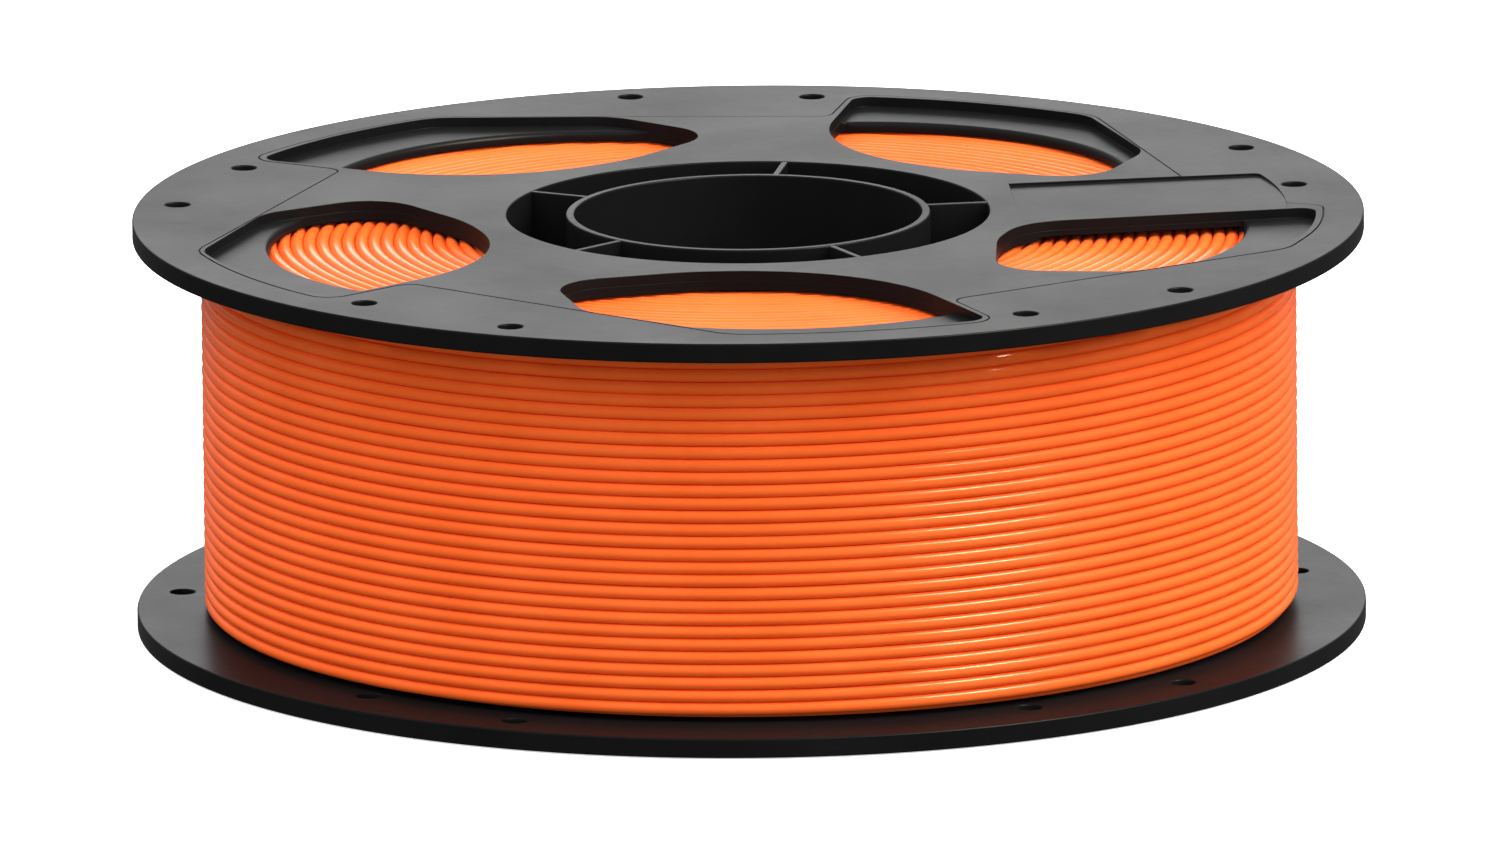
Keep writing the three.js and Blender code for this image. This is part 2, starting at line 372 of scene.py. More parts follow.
def cut_by_disc(outline, centre, radius):
    """The part of an outline that is inside a disc, closed along the disc's edge."""
    within = np.linalg.norm(outline - centre, axis=1) < radius
    start = int(np.flatnonzero(within & ~np.roll(within, 1))[0])
    outline, within = np.roll(outline, -start, axis=0), np.roll(within, -start)
    kept = outline[within]
    leave = on_disc(kept[-1], outline[len(kept)], centre, radius)
    enter = on_disc(kept[0], outline[-1], centre, radius)
    angles = [math.atan2(*(point - centre)[::-1]) for point in (leave, enter)]
    sweep = (angles[1] - angles[0]) % FULL_TURN
    steps = math.ceil(radius * sweep / ARC_STEP)
    arc = [angles[0] + sweep * step / steps for step in range(steps + 1)]
    edge = centre + radius * np.column_stack([np.cos(arc), np.sin(arc)])
    return np.vstack([kept, edge])


def on_disc(near, far, centre, radius):
    """Where the line from a point in the disc to one outside it crosses the disc's edge."""
    ahead, start = far - near, near - centre
    a, b, c = ahead @ ahead, 2 * (start @ ahead), start @ start - radius**2
    return near + ahead * (-b + math.sqrt(b * b - 4 * a * c)) / (2 * a)


# ---- Profiles: offset to the open side, depth, and the two parts of the normal ----


def arc_rows(offset, depth, radius, start, end, hollow=False, steps=4):
    """Rows of a quarter of a rounded edge about a centre; hollow for an inside corner."""
    rows = []
    for step in range(steps + 1):
        angle = math.radians(start + (end - start) * step / steps)
        c, s = math.cos(angle), math.sin(angle)
        sign = -1 if hollow else 1
        rows.append((offset + radius * c, depth + radius * s, sign * c, sign * s))
    return rows


def top_edge(depth, radius):
    """Rounded edge of a face that lies at a depth, down to the upright wall."""
    return arc_rows(-radius, depth + radius, radius, -90, 0)


def bottom_edge(depth, radius):
    """Rounded edge from the upright wall to a face at a depth that looks the other way."""
    return arc_rows(-radius, depth - radius, radius, 0, 90)


def floor_edge(depth, radius):
    """Hollow corner from the upright wall to a floor at a depth."""
    return arc_rows(radius, depth - radius, radius, 180, 90, hollow=True)


# ---- Flanges ----

RIM_SEGMENTS = 288
RING_SEGMENTS = 180
HOLE_SEGMENTS = 40
EDGE_RADIUS = 0.3
SMALL_RADIUS = 0.12
SHELF_EDGE_RADIUS = 1.0
SHELF_FLOOR_RADIUS = 0.1
INSET = 0.12  # least step from a pocket's wall in to its through hole, where both run together
PAD_FLUSH = SMALL_RADIUS + 0.05  # distance from the window at which the pad starts to slope
LIP_START = np.array([22.5, -75.5])  # where a low lip starts to part the pad from the window
LIP_WIDTH = 1.2
LIP_HEIGHT = 0.13
LIP_EASE = 3.0  # length over which the lip comes away from the window's edge
LIP_RISE = 11.0  # length over which it reaches its full height
PAD_TOLERANCE = 0.01  # how far off its outline a point still counts as on the pad
PAD_EDGE_STEPS = 80
PAD_OUTLINE_SPACING = 1.0


def smooth(share):
    """Eases a share from 0 to 1 in and out."""
    share = np.clip(share, 0, 1)
    return share * share * (3 - 2 * share)


def pad_place(points):
    """Distances along the pad window's edge, outwards from the lip's start, and across the pad."""
    return (points - LIP_START) @ PAD_ALONG, (points - PAD_EDGE[0]) @ PAD_ACROSS


def lip_distance(along):
    """How far from the window's edge the pad starts."""
    return PAD_FLUSH + (LIP_WIDTH - PAD_FLUSH) * smooth(1 + along / LIP_EASE)


def pad_depth(points):
    """Depth of the sloping pad below the outer face, for points in the flange's own frame."""
    along, across = pad_place(turned(points, -PAD_SECTOR * SECTOR_ANGLE))
    slope = np.maximum(0, across - PAD_FLUSH) * PAD_SLOPE
    lip = LIP_HEIGHT * smooth(along / LIP_RISE)
    return np.where(across > lip_distance(along) - PAD_TOLERANCE, np.maximum(slope, lip), 0)


def pad_outline():
    """The recessed pad's outline from where it leaves the face, in the pad sector's frame."""
    whole = rounded_outline(PAD_RECESS_CORNERS, PAD_OUTLINE_SPACING / 2)
    along, across = pad_place(whole)
    on_pad = across > lip_distance(along)
    start = int(np.flatnonzero(on_pad & ~np.roll(on_pad, 1))[0])
    far_side = np.roll(whole, -start, axis=0)[np.roll(on_pad, -start)]
    (last, first), _ = pad_place(far_side[[-1, 0]])
    foot = LIP_START - pad_place(LIP_START[None])[1][0] * PAD_ACROSS
    steps = np.linspace(last, first, PAD_EDGE_STEPS)[1:-1, None]
    near_side = foot + steps * PAD_ALONG + lip_distance(steps) * PAD_ACROSS
    return densified(np.vstack([far_side, near_side]), PAD_OUTLINE_SPACING)


def window_walls(skin, corners, turn, recess):
    """One window: pocket wall, shelf and through hole. Returns its rings on the two faces."""
    outline = turned(rounded_outline(corners), turn)
    inner = outline - outline_normals(outline) * INSET
    through = cut_by_disc(inner, turned([THROUGH_CENTRE], turn)[0], THROUGH_RADIUS)
    floor_radius = np.clip(distance_to(outline, through) / 4, INSET / 4, SHELF_FLOOR_RADIUS)
    profile = top_edge(0, SMALL_RADIUS) + floor_edge(POCKET_DEPTH, floor_radius)
    face_ring, shelf_ring = skin.wall(outline, -1, profile)
    room = distance_to(through, outline) - INSET
    edge_radius = np.clip(room / 2, INSET / 4, SHELF_EDGE_RADIUS)
    end = np.full(len(through), FLANGE_THICKNESS)
    if recess is not None:
        end[inside(through, recess)] -= TAG_RECESS_DEPTH
    profile = top_edge(POCKET_DEPTH, edge_radius) + bottom_edge(end, SMALL_RADIUS)
    edge_ring, inner_ring = skin.wall(through, -1, profile)
    skin.fill(shelf_ring, [edge_ring], -1, POCKET_DEPTH)
    return face_ring, inner_ring


def pad_walls(skin, plate):
    """The low wall round the sloping pad. Returns its ring on the face and its ring on the pad."""
    outline = turned(pad_outline(), PAD_SECTOR * SECTOR_ANGLE)
    face = np.where(inside(outline, plate), 0, RIM_DROP)
    radius = np.clip((pad_depth(outline) - face) / 3, 0, SMALL_RADIUS)
    foot = outline - outline_normals(outline) * radius[:, None]
    profile = top_edge(face, radius) + floor_edge(np.maximum(pad_depth(foot), face), radius)
    return skin.wall(outline, -1, profile)


def plate_outline(with_pad):
    """Outline of the middle plate, which gives way to the pad where there is one."""
    corners = []
    for sector in range(SECTOR_COUNT):
        padded = with_pad and sector == PAD_SECTOR
        for x, y, radius in PAD_PLATE_CORNERS if padded else PLATE_CORNERS:
            corners.append((*turned([(x, y)], sector * SECTOR_ANGLE)[0], radius))
    return rounded_outline(corners)


def groove_walls(skin, outline, pad):
    """The fine groove round the middle plate, except on the pad. Returns its two rings."""
    half = GROOVE_WIDTH / 2
    groove = arc_rows(half, GROOVE_WALL, half, 180, 0, hollow=True)
    outer_place = (GROOVE_WIDTH + GROOVE_EDGE, RIM_DROP + GROOVE_EDGE)
    profile = top_edge(0, GROOVE_EDGE) + groove + arc_rows(*outer_place, GROOVE_EDGE, 180, 270)
    return skin.wall(outline, 1, profile, None if pad is None else ~inside(outline, pad))


def parking_hole_walls(skin):
    """Small holes through the rim. Returns their rings on the two faces."""
    profile = top_edge(RIM_DROP, EDGE_RADIUS) + bottom_edge(FLANGE_THICKNESS, EDGE_RADIUS)
    rings = []
    for sector in range(SECTOR_COUNT):
        for distance, angle in PARKING_HOLES:
            around = angle + sector * SECTOR_ANGLE
            centre = (distance * math.cos(around), distance * math.sin(around))
            hole = circle(PARKING_HOLE_RADIUS, HOLE_SEGMENTS, centre)
            rings.append(skin.wall(hole, -1, profile))
    return [pair[0] for pair in rings], [pair[1] for pair in rings]


def make_flange(name, outer, inward, body, replaced, with_pad):
    """Flange with windows, a fine groove round its middle plate, and parking holes."""
    skin = Skin(outer, inward)
    rim_profile = top_edge(RIM_DROP, EDGE_RADIUS) + bottom_edge(FLANGE_THICKNESS, EDGE_RADIUS)
    rim_face, rim_inner = skin.wall(circle(FLANGE_RADIUS, RIM_SEGMENTS), 1, rim_profile)
    opening_profile = top_edge(0, EDGE_RADIUS) + [(0, FLANGE_THICKNESS, 1, 0)]
    opening = circle(OPENING_RADIUS, RING_SEGMENTS)
    opening_face, opening_inner = skin.wall(opening, -1, opening_profile)
    plate = plate_outline(with_pad)
    pad = turned(pad_outline(), PAD_SECTOR * SECTOR_ANGLE) if with_pad else None
    plate_edge, groove_edge = groove_walls(skin, plate, pad)
    hole_faces, hole_inners = parking_hole_walls(skin)

    recess = turned(rounded_outline(PAD_RECESS_CORNERS), PAD_SECTOR * SECTOR_ANGLE)
    window_faces, window_inners = [], []
    for sector in range(SECTOR_COUNT):
        padded = with_pad and sector == PAD_SECTOR
        corners = PAD_WINDOW_CORNERS if padded else WINDOW_CORNERS
        face_ring, inner_ring = window_walls(
            skin, corners, sector * SECTOR_ANGLE, recess if padded else None
        )
        window_faces.append(face_ring)
        window_inners.append(inner_ring)

    face_holes = [opening_face, *window_faces]
    rim_holes = [groove_edge, *hole_faces]
    inner_holes = [opening_inner, *window_inners, *hole_inners]
    if with_pad:
        pad_face, pad_foot = pad_walls(skin, plate)
        face_holes.append(pad_face)
        rim_holes.append(pad_face)
        inner_holes.append(recess)
        skin.fill(pad_foot, [], -1, pad_depth)
        fill_tag_recess(skin, recess, window_inners[PAD_SECTOR])
    skin.fill(plate_edge, face_holes, -1, 0)
    skin.fill(rim_face, rim_holes, -1, RIM_DROP)
    skin.fill(rim_inner, inner_holes, 1, FLANGE_THICKNESS)
    skin.to_piece(name, body, replaced)


def fill_tag_recess(skin, recess, window_ring):
    """Floor and walls of the shallow space under the pad, as far as the window's hole."""
    depth = FLANGE_THICKNESS - TAG_RECESS_DEPTH
    skin.fill(recess, [window_ring], 1, depth)
    normals = -outline_normals(recess)
    after = np.roll(recess, -1, axis=0)
    for index in np.flatnonzero(~inside((recess + after) / 2, window_ring[:, :2])):
        pair = np.array([recess[index], after[index]])
        quad = np.column_stack([pair[[0, 1, 1, 0]], [depth, depth, *[FLANGE_THICKNESS] * 2]])
        across = np.append(normals[index], 0)
        skin.add(skin.placed(quad), np.tile(across, (4, 1)), np.array([[0, 1, 2, 3]]))


# ---- Drum and bore sleeves ----

JOIN_RADIUS = 0.02  # rounding of the corners that stand on the flange
RIB_DROP = 0.05  # from the flange's face down to the ribs
RIB_OVERLAP = 0.2  # how far a rib reaches into the drum's wall
RIB_CORNER_RADIUS = 0.3
RIB_EDGE_RADIUS = 0.2


def revolve(skin, corners):
    """Ring with a closed section: corners of radius, depth and rounding, anticlockwise."""
    section, slopes = rounded_points(corners)
    ring = circle(1.0, RING_SEGMENTS)
    points, normals = [], []
    for (radius, depth), (out, down) in zip(section, slopes):
        points.append(np.column_stack([ring * radius, np.full(len(ring), depth)]))
        normals.append(np.column_stack([ring * out, np.full(len(ring), down * skin.inward)]))
    points.append(points[0])
    normals.append(normals[0])
    faces = grid_faces(len(points), len(ring))
    skin.add(skin.placed(np.vstack(points)), np.vstack(normals), faces)


def make_lower_drum():
    """The half of the drum whose end narrows to a spigot."""
    skin = Skin()
    revolve(skin, [
        (OPENING_RADIUS, FLANGE_THICKNESS, JOIN_RADIUS),
        (DRUM_RADIUS, FLANGE_THICKNESS, JOIN_RADIUS),
        (DRUM_RADIUS, HALF_DEPTH, SMALL_RADIUS),
        (SPIGOT_OUTER_RADIUS, HALF_DEPTH, SMALL_RADIUS),
        (SPIGOT_OUTER_RADIUS, SPIGOT_TOP, EDGE_RADIUS),
        (OPENING_RADIUS, SPIGOT_TOP, EDGE_RADIUS),
    ])
    skin.to_piece("lower_drum_wall", "lower_half", "lower_drum")


def make_upper_drum():
    """The half of the drum whose end widens to a socket."""
    skin = Skin(SPOOL_WIDTH, -1)
    floor = SPOOL_WIDTH - SPIGOT_TOP
    revolve(skin, [
        (OPENING_RADIUS, FLANGE_THICKNESS, JOIN_RADIUS),
        (DRUM_RADIUS, FLANGE_THICKNESS, JOIN_RADIUS),
        (DRUM_RADIUS, HALF_DEPTH, EDGE_RADIUS),
        (SOCKET_RADIUS, HALF_DEPTH, EDGE_RADIUS),
        (SOCKET_RADIUS, floor, SMALL_RADIUS),
        (OPENING_RADIUS, floor, SMALL_RADIUS),
    ])
    skin.to_piece("upper_drum_wall", "upper_half", "upper_drum")


def make_bore(name, outer, inward, body, replaced):
    """Bore sleeve with the ribs that hold it in the drum."""
    skin = Skin(outer, inward)
    revolve(skin, [
        (BORE_RADIUS, 0, EDGE_RADIUS),
        (SLEEVE_OUTER_RADIUS, 0, EDGE_RADIUS),
        (SLEEVE_OUTER_RADIUS, HALF_DEPTH, EDGE_RADIUS),
        (BORE_RADIUS, HALF_DEPTH, EDGE_RADIUS),
    ])
    inner = (BORE_RADIUS + SLEEVE_OUTER_RADIUS) / 2
    reach = OPENING_RADIUS + RIB_OVERLAP
    half = RIB_THICKNESS / 2
    ends = [(inner, -half), (reach, -half), (reach, half), (inner, half)]
    foot = [(x, y, RIB_CORNER_RADIUS) for x, y in ends]
    profile = top_edge(RIB_DROP, RIB_EDGE_RADIUS) + bottom_edge(RIB_DEPTH, RIB_EDGE_RADIUS)
    for index in range(RIB_COUNT):
        outline = turned(rounded_outline(foot), RIB_FIRST_ANGLE + index * FULL_TURN / RIB_COUNT)
        top, bottom = skin.wall(outline, 1, profile)
        skin.fill(top, [], -1, RIB_DROP)
        skin.fill(bottom, [], 1, RIB_DEPTH)
    skin.to_piece(name, body, replaced)


# ---- Filament ----

STRAND_PITCH = 2.1  # from one turn to the next
STRAND_RADIUS = 1.07  # slightly over half the pitch, so that neighbouring turns touch
STRAND_SIDES = 12
TURN_STEPS = 180  # points in one turn
INNER_LAYER_DROP = 1.75  # from one layer of turns to the next one in
LAYER_START = math.radians(110)  # where a layer's first turn starts, at the back
LAYER_RISE = 0.2  # how far the outer layer's strand may come out of the plain ring
LAYER_WANDER = 0.04  # how far a layer's turns wander up and down
LAYER_UNEVENNESS = 0.03  # and in and out
FACE_WANDER = 0.05  # how far an end face's turns wander in and out
FACE_UNEVENNESS = 0.06  # and up and down
FACE_MARGIN = 0.1  # from the outer layer to the end face's last turn
UPPER_FACE_DROP = 0.12
LOWER_FACE_RISE = 0.25
WOBBLE_WAVES = [(0.37, 1.0), (0.83, 0.7), (2.3, 0.5), (5.1, 0.3)]  # rate and size of each
TAIL_DIAMETER = 1.75  # the strand's own thickness
TAIL_HOLE_DISTANCE, sector_hole_angle = PARKING_HOLES[1]
TAIL_HOLE_ANGLE = sector_hole_angle + 2 * SECTOR_ANGLE  # at the back
TAIL_LEAD = math.radians(34)  # from the last turn round to the hole
TAIL_SUNK_LEAD = 0.24  # share of the lead over which the strand comes out of the layer
TAIL_SINK = 3.0  # depth in the layer at which it starts
TAIL_START_HEIGHT = 16
TAIL_END_HEIGHT = 0.9
TAIL_ROUTE_STEPS = 7  # points on the curve for each one of the route
TAIL_BEVEL_STEPS = 5
TAIL_LAST_TURN_DISTANCE = WINDING_RADIUS + GAP + TAIL_DIAMETER / 2


def strand_mesh(name, angles, radii, heights):
    """Tube round the axis along a path of angles, distances and heights."""
    around = np.arange(STRAND_SIDES) * FULL_TURN / STRAND_SIDES
    out = np.column_stack([np.cos(angles), np.sin(angles)])
    reach = radii[:, None] + STRAND_RADIUS * np.cos(around)
    level = heights[:, None] + STRAND_RADIUS * np.sin(around)
    points = np.dstack([out[:, None, 0] * reach, out[:, None, 1] * reach, level]).reshape(-1, 3)
    faces = grid_faces(len(angles), STRAND_SIDES)[:, ::-1].tolist()
    last = len(points) - STRAND_SIDES
    faces += [list(range(STRAND_SIDES)), list(range(last, last + STRAND_SIDES))[::-1]]
    mesh = bpy.data.meshes.new(name)
    mesh.from_pydata((points * MM).tolist(), [], faces)
    mesh.polygons.foreach_set("use_smooth", [True] * len(faces))
    return mesh


def wobble(angles, seed):
    """Slow wandering of a wound strand, from -1 to 1, that never repeats by the turn."""
    parts = [
        size * np.sin(rate * angles + seed * (1 + number))
        for number, (rate, size) in enumerate(WOBBLE_WAVES)
    ]
    return sum(parts) / sum(size for _, size in WOBBLE_WAVES)


def make_layer(name, radius, seed, turn_steps=TURN_STEPS, replaced=None):
    """One layer of turns from the lower flange to the upper one."""
    low = winding_low[2] + STRAND_RADIUS
    high = winding_high[2] - STRAND_RADIUS
    turns = (high - low) / STRAND_PITCH
    angles = np.linspace(0, turns * FULL_TURN, int(turns * turn_steps)) + LAYER_START
    share = np.linspace(0, 1, len(angles))
    heights = low + (high - low) * share
    ease = np.clip(np.minimum(share, 1 - share) * turns, 0, 1)
    heights = heights + LAYER_WANDER * ease * wobble(angles, seed)
    radii = radius + LAYER_UNEVENNESS * wobble(angles, seed + 2)
    mesh = strand_mesh(name, angles, radii, heights)
    add_piece(name, mesh, filament_plastic, "lower_half", replaced)


def make_end_face(name, height, seed):
    """The turns that lie against a flange, seen through its windows."""
    inner = WINDING_INNER_RADIUS + STRAND_RADIUS
    outer = WINDING_RADIUS - STRAND_RADIUS - FACE_MARGIN
    turns = (outer - inner) / STRAND_PITCH
    angles = LAYER_START - np.linspace(turns * FULL_TURN, 0, int(turns * TURN_STEPS))
    radii = np.linspace(inner, outer, len(angles)) + FACE_WANDER * wobble(angles, seed)
    heights = height + FACE_UNEVENNESS * wobble(angles, seed + 1)
    mesh = strand_mesh(name, angles, radii, heights)
    add_piece(name, mesh, filament_plastic, "lower_half")


def free_end_point(share, height, sink=0):
    """Point at a share of the way from the last turn to the parking hole."""
    angle = TAIL_HOLE_ANGLE + TAIL_LEAD * (1 - share)
    distance = TAIL_LAST_TURN_DISTANCE * (1 - share) + TAIL_HOLE_DISTANCE * share - sink
    return np.array([distance * math.cos(angle), distance * math.sin(angle), height])


def smooth_route(points, steps):
    """Centripetal Catmull-Rom curve through the points, with as many steps after each of them."""
    ends = [2 * points[0] - points[1], *points, 2 * points[-1] - points[-2]]
    knots = np.cumsum([0] + [np.linalg.norm(b - a) ** 0.5 for a, b in zip(ends, ends[1:])])
    route = []
    for index in range(1, len(ends) - 2):
        t0, t1, t2, t3 = knots[index - 1:index + 3]
        p0, p1, p2, p3 = ends[index - 1:index + 3]
        for t in np.linspace(t1, t2, steps, endpoint=False):
            a1 = ((t1 - t) * p0 + (t - t0) * p1) / (t1 - t0)
            a2 = ((t2 - t) * p1 + (t - t1) * p2) / (t2 - t1)
            a3 = ((t3 - t) * p2 + (t - t2) * p3) / (t3 - t2)
            b1 = ((t2 - t) * a1 + (t - t0) * a2) / (t2 - t0)
            b2 = ((t3 - t) * a2 + (t - t1) * a3) / (t3 - t1)
            route.append(((t2 - t) * b1 + (t - t1) * b2) / (t2 - t1))
    return np.array(route + [points[-1]])


def make_free_end():
    """The strand's free end, from inside the outer layer into its parking hole."""
    places = [
        (-TAIL_SUNK_LEAD, TAIL_START_HEIGHT, TAIL_SINK),
        (0, TAIL_START_HEIGHT),
        (0.3, TAIL_START_HEIGHT - 0.6),
        (0.6, TAIL_START_HEIGHT - 2.4),
        (0.85, TAIL_START_HEIGHT - 6.2),
        (0.97, 5.6),
        (1, FLANGE_THICKNESS - 0.6),
        (1, TAIL_END_HEIGHT),
    ]
    route = smooth_route([free_end_point(*place) for place in places], TAIL_ROUTE_STEPS) * MM
    line = bpy.data.curves.new("filament_free_end", "CURVE")
    line.dimensions = "3D"
    line.bevel_depth = TAIL_DIAMETER / 2 * MM
    line.bevel_resolution = TAIL_BEVEL_STEPS
    line.use_fill_caps = True
    spline = line.splines.new("POLY")
    spline.points.add(len(route) - 1)
    for point, place in zip(spline.points, route):
        point.co = (*place, 1)
    piece = add_piece(
        "filament_free_end", line, filament_plastic, "lower_half", "filament_tail"
    )


# ---- Materials ----

NOISE_LOW = 0.3  # nearly all of a noise lies between these two
NOISE_HIGH = 0.7


def new_material(name):
    """New node material, with its nodes, links and shader."""
    material = bpy.data.materials.new(name)
    material.use_nodes = True
    tree = material.node_tree
    return material, tree.nodes, tree.links, tree.nodes["Principled BSDF"]


def noise_at(nodes, links, scale, detail=3.0, roughness=0.55, stretch=(1, 1, 1)):
    """Noise in the piece's own coordinates, in metres."""
    place = nodes.new("ShaderNodeTexCoord")
    mapping = nodes.new("ShaderNodeMapping")
    mapping.inputs["Scale"].default_value = stretch
    noise = nodes.new("ShaderNodeTexNoise")
    noise.inputs["Scale"].default_value = scale
    noise.inputs["Detail"].default_value = detail
    noise.inputs["Roughness"].default_value = roughness
    links.new(place.outputs["Object"], mapping.inputs["Vector"])
    links.new(mapping.outputs["Vector"], noise.inputs["Vector"])
    return noise.outputs["Fac"]


def ranged(nodes, links, value, low, high, from_low=NOISE_LOW, from_high=NOISE_HIGH):
    """Maps a value between two limits onto another range."""
    node = nodes.new("ShaderNodeMapRange")
    node.inputs["From Min"].default_value = from_low
    node.inputs["From Max"].default_value = from_high
    node.inputs["To Min"].default_value = low
    node.inputs["To Max"].default_value = high
    links.new(value, node.inputs["Value"])
    return node.outputs["Result"]


def blended(nodes, links, value, dark, light):
    """Colour between a dark and a light one by a noise."""
    ramp = nodes.new("ShaderNodeValToRGB")
    ends = zip(ramp.color_ramp.elements, (NOISE_LOW, NOISE_HIGH), (dark, light))
    for element, position, color in ends:
        element.position = position
        element.color = (*color, 1)
    links.new(value, ramp.inputs["Fac"])
    return ramp.outputs["Color"]


def bumped(nodes, links, heights):
    """Normal from several (height, strength, distance) bumps on top of each other."""
    normal = None
    for height, strength, distance in heights:
        bump = nodes.new("ShaderNodeBump")
        bump.inputs["Strength"].default_value = strength
        bump.inputs["Distance"].default_value = distance
        links.new(height, bump.inputs["Height"])
        if normal is not None:
            links.new(normal, bump.inputs["Normal"])
        normal = bump.outputs["Normal"]
    return normal


def make_black_plastic():
    """Injection-moulded black plastic: fine spark-eroded grain, slow sheen changes, light scuffs."""
    material, nodes, links, shader = new_material("black_plastic")
    grain = noise_at(nodes, links, 5200, detail=2)
    flow = noise_at(nodes, links, 38, detail=4)
    scuffs = noise_at(nodes, links, 420, detail=6, roughness=0.7, stretch=(1, 6, 1))
    tone = blended(nodes, links, flow, (0.0055, 0.0056, 0.0058), (0.0080, 0.0081, 0.0083))
    links.new(tone, shader.inputs["Base Color"])
    mix = nodes.new("ShaderNodeMath")
    mix.operation = "ADD"
    links.new(ranged(nodes, links, flow, 0.30, 0.36), mix.inputs[0])
    links.new(ranged(nodes, links, scuffs, 0.0, 0.05), mix.inputs[1])
    links.new(mix.outputs["Value"], shader.inputs["Roughness"])
    shader.inputs["IOR"].default_value = 1.075
    surface = bumped(nodes, links, [(grain, 0.12, 0.00002), (flow, 0.1, 0.0001)])
    links.new(surface, shader.inputs["Normal"])
    return material


def make_filament_plastic():
    """Extruded filament: saturated and glossy, with faint streaks along the strand."""
    material, nodes, links, shader = new_material("filament_plastic")
    tint = noise_at(nodes, links, 60, detail=3)
    streaks = noise_at(nodes, links, 900, detail=3, stretch=(0.15, 0.15, 1.0))
    tone = blended(nodes, links, tint, (0.94, 0.130, 0.020), (1.0, 0.152, 0.027))
    links.new(tone, shader.inputs["Base Color"])
    links.new(ranged(nodes, links, streaks, 0.17, 0.23), shader.inputs["Roughness"])
    shader.inputs["IOR"].default_value = 1.12
    links.new(bumped(nodes, links, [(streaks, 0.1, 0.00003)]), shader.inputs["Normal"])
    return material


def make_tag_card():
    """Plain off-white card with paper fibre."""
    material, nodes, links, shader = new_material("tag_card")
    fibre = noise_at(nodes, links, 2600, detail=5)
    tone = blended(nodes, links, fibre, (0.74, 0.73, 0.69), (0.82, 0.81, 0.77))
    links.new(tone, shader.inputs["Base Color"])
    links.new(ranged(nodes, links, fibre, 0.55, 0.65), shader.inputs["Roughness"])
    links.new(bumped(nodes, links, [(fibre, 0.2, 0.00003)]), shader.inputs["Normal"])
    return material


def make_floor_paint():
    """Pale studio floor, bright enough to run into the white background."""
    material, nodes, links, shader = new_material("floor_paint")
    mottle = noise_at(nodes, links, 3, detail=2)
    tone = blended(nodes, links, mottle, (0.93, 0.93, 0.93), (0.95, 0.95, 0.95))
    links.new(tone, shader.inputs["Base Color"])
    shader.inputs["Roughness"].default_value = 0.8
    shader.inputs["Emission Color"].default_value = (1, 1, 1, 1)
    shader.inputs["Emission Strength"].default_value = 0.6
    return material


black_plastic = make_black_plastic()
filament_plastic = make_filament_plastic()
tag_card = make_tag_card()
floor_paint = make_floor_paint()

# ---- The spool ----

make_flange("upper_flange_plate", SPOOL_WIDTH, -1, "upper_half", "upper_flange", with_pad=True)
make_flange("lower_flange_plate", 0, 1, "lower_half", "lower_flange", with_pad=False)
make_lower_drum()
make_upper_drum()
make_bore("upper_bore_ring_and_ribs", SPOOL_WIDTH, -1, "upper_half", "upper_bore_sleeve")
make_bore("lower_bore_ring_and_ribs", 0, 1, "lower_half", "lower_bore_sleeve")

outer_turn_radius = WINDING_RADIUS - STRAND_RADIUS
inner_turn_radius = WINDING_INNER_RADIUS + STRAND_RADIUS
upper_turn_height = winding_high[2] - STRAND_RADIUS
lower_turn_height = winding_low[2] + STRAND_RADIUS
make_layer(
    "winding_outer_layer", outer_turn_radius + LAYER_RISE, seed=1.3, replaced="filament_winding"
)
make_layer("winding_second_layer", outer_turn_radius - INNER_LAYER_DROP, seed=4.1)
make_layer("winding_inner_layer", inner_turn_radius, seed=2.2, turn_steps=TURN_STEPS // 2)
make_end_face("winding_upper_face", upper_turn_height - UPPER_FACE_DROP, seed=0.6)
make_end_face("winding_lower_face", lower_turn_height + LOWER_FACE_RISE, seed=2.9)
make_free_end()

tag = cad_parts["identity_tag"]
tag.data.materials.clear()
tag.data.materials.append(tag_card)

# ---- Floor, light and camera, in metres ----

FLOOR_RADIUS = 40.0
FLOOR_SIDES = 64
FLOOR_DROP = 0.0002  # below the spool, so that the two faces don't flicker

CAMERA_ELEVATION = math.radians(12.53)
CAMERA_ROLL = -0.0095
CAMERA_DISTANCE = 5.08
CAMERA_LENS = 750
CAMERA_AIM = (0.0, 0.0, 0.03285)

WORLD_BELOW = 0.2  # brightness at the horizon and below it
WORLD_WALL = 0.7  # at the height where the dark foot of the wall ends
WORLD_TOP = 2.6
WALL_FOOT = 0.16  # that height, as the sine of its elevation
WHITE = (1.0, 1.0, 1.0)
WARM_WHITE = (1.0, 0.86, 0.62)


def make_floor():
    """Large flat disc just under the spool."""
    mesh = bpy.data.meshes.new("floor")
    ring = circle(FLOOR_RADIUS, FLOOR_SIDES)
    mesh.from_pydata([(x, y, -FLOOR_DROP) for x, y in ring], [], [list(range(FLOOR_SIDES))])
    mesh.materials.append(floor_paint)
    floor = bpy.data.objects.new("floor", mesh)
    bpy.context.scene.collection.objects.link(floor)
    floor.visible_diffuse = False
    floor.visible_glossy = False


def add_softbox(name, place, size, power, for_sheen, color=WHITE):
    """Rectangular light aimed at the spool, for its colours or only for its sheen."""
    light = bpy.data.lights.new(name, "AREA")
    light.shape = "RECTANGLE"
    light.size, light.size_y = size
    light.energy = power
    light.color = color
    softbox = bpy.data.objects.new(name, light)
    softbox.location = place
    softbox.rotation_euler = (Vector(CAMERA_AIM) - Vector(place)).to_track_quat("-Z", "Y").to_euler()
    softbox.visible_camera = False
    softbox.visible_diffuse = not for_sheen
    softbox.visible_glossy = for_sheen
    bpy.context.scene.collection.objects.link(softbox)


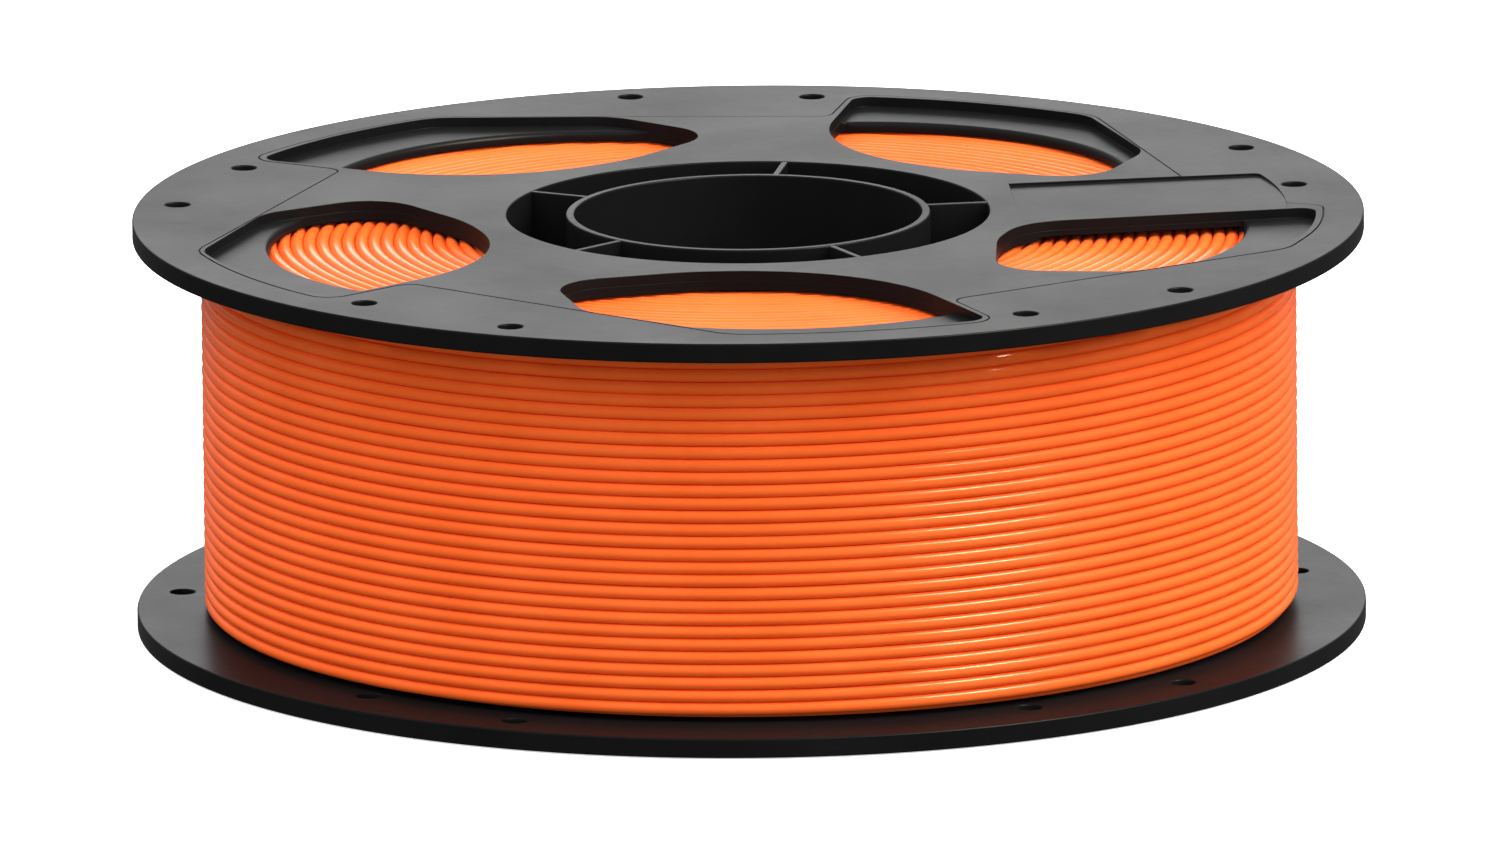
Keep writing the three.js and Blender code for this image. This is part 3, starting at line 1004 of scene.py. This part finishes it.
def add_camera():
    """Long lens at the viewing height of a product shot, with a slight roll."""
    camera = bpy.data.cameras.new("camera")
    camera.lens = CAMERA_LENS
    camera.clip_start = 0.1
    camera.clip_end = 60
    holder = bpy.data.objects.new("camera", camera)
    back = Vector((0, -math.cos(CAMERA_ELEVATION), math.sin(CAMERA_ELEVATION)))
    holder.location = Vector(CAMERA_AIM) + back * CAMERA_DISTANCE
    holder.rotation_mode = "QUATERNION"
    roll = Quaternion((0, 0, 1), CAMERA_ROLL)
    holder.rotation_quaternion = (-back).to_track_quat("-Z", "Y") @ roll
    bpy.context.scene.collection.objects.link(holder)
    bpy.context.scene.camera = holder


def add_world():
    """Pale studio that brightens towards the ceiling, with a dark foot all round.

    The camera itself sees plain white, so the background stays even."""
    world = bpy.data.worlds.new("studio")
    world.use_nodes = True
    nodes, links = world.node_tree.nodes, world.node_tree.links
    place = nodes.new("ShaderNodeTexCoord")
    split = nodes.new("ShaderNodeSeparateXYZ")
    background = nodes["Background"]
    links.new(place.outputs["Generated"], split.inputs["Vector"])
    wall = ranged(nodes, links, split.outputs["Z"], WORLD_BELOW, WORLD_WALL, 0, WALL_FOOT)
    rise = ranged(nodes, links, split.outputs["Z"], 0, WORLD_TOP - WORLD_WALL, WALL_FOOT, 1)
    level = nodes.new("ShaderNodeMath")
    level.operation = "ADD"
    links.new(wall, level.inputs[0])
    links.new(rise, level.inputs[1])
    sight = nodes.new("ShaderNodeLightPath")
    seen = nodes.new("ShaderNodeMath")
    seen.operation = "MAXIMUM"
    links.new(level.outputs["Value"], seen.inputs[0])
    links.new(sight.outputs["Is Camera Ray"], seen.inputs[1])
    links.new(seen.outputs["Value"], background.inputs["Strength"])
    background.inputs["Color"].default_value = (1, 1, 1, 1)
    bpy.context.scene.world = world


make_floor()
add_camera()
add_world()
bpy.context.scene.view_settings.view_transform = "Standard"
add_softbox("key_softbox", place=(1.5, -0.35, 1.0), size=(1.4, 1.2), power=31, for_sheen=False)
add_softbox("front_softbox", place=(-0.3, -2.0, 0.3), size=(2.0, 0.8), power=7, for_sheen=False)
add_softbox(
    "glint_softbox",
    place=(0.90, -0.40, 1.36),
    size=(0.6, 0.26),
    power=240,
    for_sheen=True,
    color=WARM_WHITE,
)
add_softbox("back_softbox", place=(0, 2.8, 0.68), size=(1.3, 0.7), power=11, for_sheen=True)
